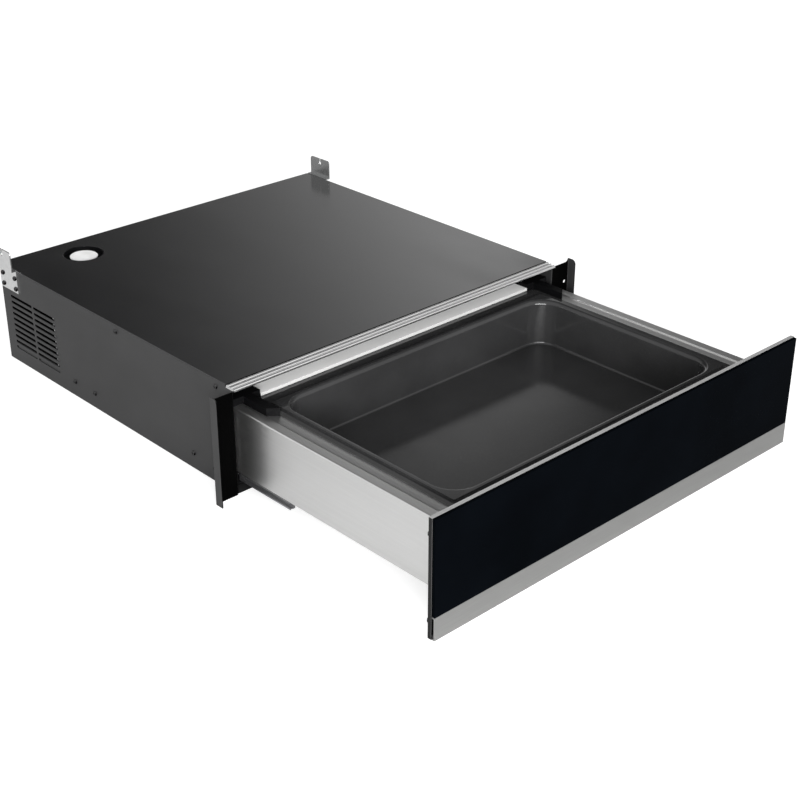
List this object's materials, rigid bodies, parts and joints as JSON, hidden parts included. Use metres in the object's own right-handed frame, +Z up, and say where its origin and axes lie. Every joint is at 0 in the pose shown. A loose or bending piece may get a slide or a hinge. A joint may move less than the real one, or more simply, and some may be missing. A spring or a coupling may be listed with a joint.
{
  "type": "built-in warming drawer",
  "caption": "Low black steel cabinet with front ears and a full-width glass-fronted drawer on ball slides that holds a lift-out pan warmed by a fan heater.",
  "frame": {"origin": "middle of the underside of the cabinet's base", "axes": "-Y out of the front, +X to the right seen from the front turned round, +Z up; the drawer is stored pulled out"},
  "size_m": [0.595, 0.8706, 0.165],
  "materials": {
    "black_cover": "satin black enamel",
    "black_side": "satin black enamel",
    "galvanised": "galvanised, satin",
    "drawer_steel": "satin brushed",
    "bright_steel": "bright satin",
    "strip_steel": "brushed along its length",
    "trim_metal": "ribbed, satin",
    "black_plastic": "matte black",
    "white_plastic": "smooth white",
    "pan_coat": "black non-stick, semi-gloss",
    "black_glass": "toughened glass with an opaque black back print, gloss",
    "rail_steel": "zinc plated",
    "screw_dark": "black oxide",
    "screw_zinc": "zinc plated",
    "rubber": "matte",
    "motor_metal": "bare steel laminations",
    "element_metal": "heat-darkened steel",
    "board_green": "printed circuit board",
    "pale_plastic": "matte"
  },
  "bodies": {
    "cabinet": {"base_tray": "black_side", "left_side_panel": "black_side", "right_side_panel": "black_side", "top_cover": "black_cover", "rear_panel": "black_side", "front_top_rail": "black_plastic", "ribbed_trim": "trim_metal", "port_cup": "black_plastic", "port_cap": "white_plastic", "left_rear_bracket": "galvanised", "right_rear_bracket": "galvanised", "side_screws": "screw_dark", "bracket_screws": "screw_zinc", "partition": "galvanised", "left_cabinet_rail": "rail_steel", "right_cabinet_rail": "rail_steel", "blower_motor": "motor_metal", "blower_scroll": "galvanised", "blower_lid": "galvanised", "heater_duct": "galvanised", "heating_element": "element_metal", "thermostats": "pale_plastic", "board_tray": "pale_plastic", "power_board": "board_green", "board_parts": "black_plastic", "terminal_block": "pale_plastic", "cable_gland": "black_plastic", "latch_housing": "black_plastic"},
    "blower_rotor": {"motor_shaft": "rail_steel", "blower_impeller": "galvanised"},
    "latch": {"latch_plunger": "white_plastic"},
    "left_middle": {"left_middle_rail": "rail_steel"},
    "right_middle": {"right_middle_rail": "rail_steel"},
    "left_low_balls": {"left_low_cage": "rail_steel"},
    "right_low_balls": {"right_low_cage": "rail_steel"},
    "left_high_balls": {"left_high_cage": "rail_steel"},
    "right_high_balls": {"right_high_cage": "rail_steel"},
    "drawer": {"left_drawer_side": "drawer_steel", "right_drawer_side": "drawer_steel", "drawer_floor": "drawer_steel", "drawer_rear_wall": "bright_steel", "striker": "screw_zinc", "left_rear_corner": "black_plastic", "right_rear_corner": "black_plastic", "warming_pan": "pan_coat", "left_drawer_rail": "rail_steel", "right_drawer_rail": "rail_steel", "left_front_angle": "drawer_steel", "right_front_angle": "drawer_steel", "front_screws": "screw_zinc", "front_carrier": "drawer_steel", "front_glass": "black_glass", "front_strip": "strip_steel", "bumpers": "rubber", "control_box": "black_plastic", "touch_board": "board_green"}
  },
  "joints": [
    {"name": "drawer_slide", "type": "slide", "parent": "cabinet", "child": "drawer", "axis": [0, 1, 0], "range_m": [0, 0.33]},
    {"name": "left_middle_slide", "type": "slide", "parent": "cabinet", "child": "left_middle", "axis": [0, 1, 0], "range_m": [0, 0.165]},
    {"name": "right_middle_slide", "type": "slide", "parent": "cabinet", "child": "right_middle", "axis": [0, 1, 0], "range_m": [0, 0.165]},
    {"name": "left_low_cage_slide", "type": "slide", "parent": "cabinet", "child": "left_low_balls", "axis": [0, 1, 0], "range_m": [0, 0.0825]},
    {"name": "right_low_cage_slide", "type": "slide", "parent": "cabinet", "child": "right_low_balls", "axis": [0, 1, 0], "range_m": [0, 0.0825]},
    {"name": "left_high_cage_slide", "type": "slide", "parent": "cabinet", "child": "left_high_balls", "axis": [0, 1, 0], "range_m": [0, 0.2475]},
    {"name": "right_high_cage_slide", "type": "slide", "parent": "cabinet", "child": "right_high_balls", "axis": [0, 1, 0], "range_m": [0, 0.2475]},
    {"name": "latch_push", "type": "slide", "parent": "cabinet", "child": "latch", "axis": [0, 1, 0], "range_m": [0, 0.005], "stiffness_N_per_m": 600},
    {"name": "blower_spin", "type": "hinge", "parent": "cabinet", "child": "blower_rotor", "pos_m": [-0.165, 0.194, 0.05], "axis": [0, 0, 1], "continuous": true}
  ],
  "couplings": [
    {"joint": "left_middle_slide", "follows": "drawer_slide", "ratio": 0.5},
    {"joint": "right_middle_slide", "follows": "drawer_slide", "ratio": 0.5},
    {"joint": "left_low_cage_slide", "follows": "drawer_slide", "ratio": 0.25},
    {"joint": "right_low_cage_slide", "follows": "drawer_slide", "ratio": 0.25},
    {"joint": "left_high_cage_slide", "follows": "drawer_slide", "ratio": 0.75},
    {"joint": "right_high_cage_slide", "follows": "drawer_slide", "ratio": 0.75}
  ]
}
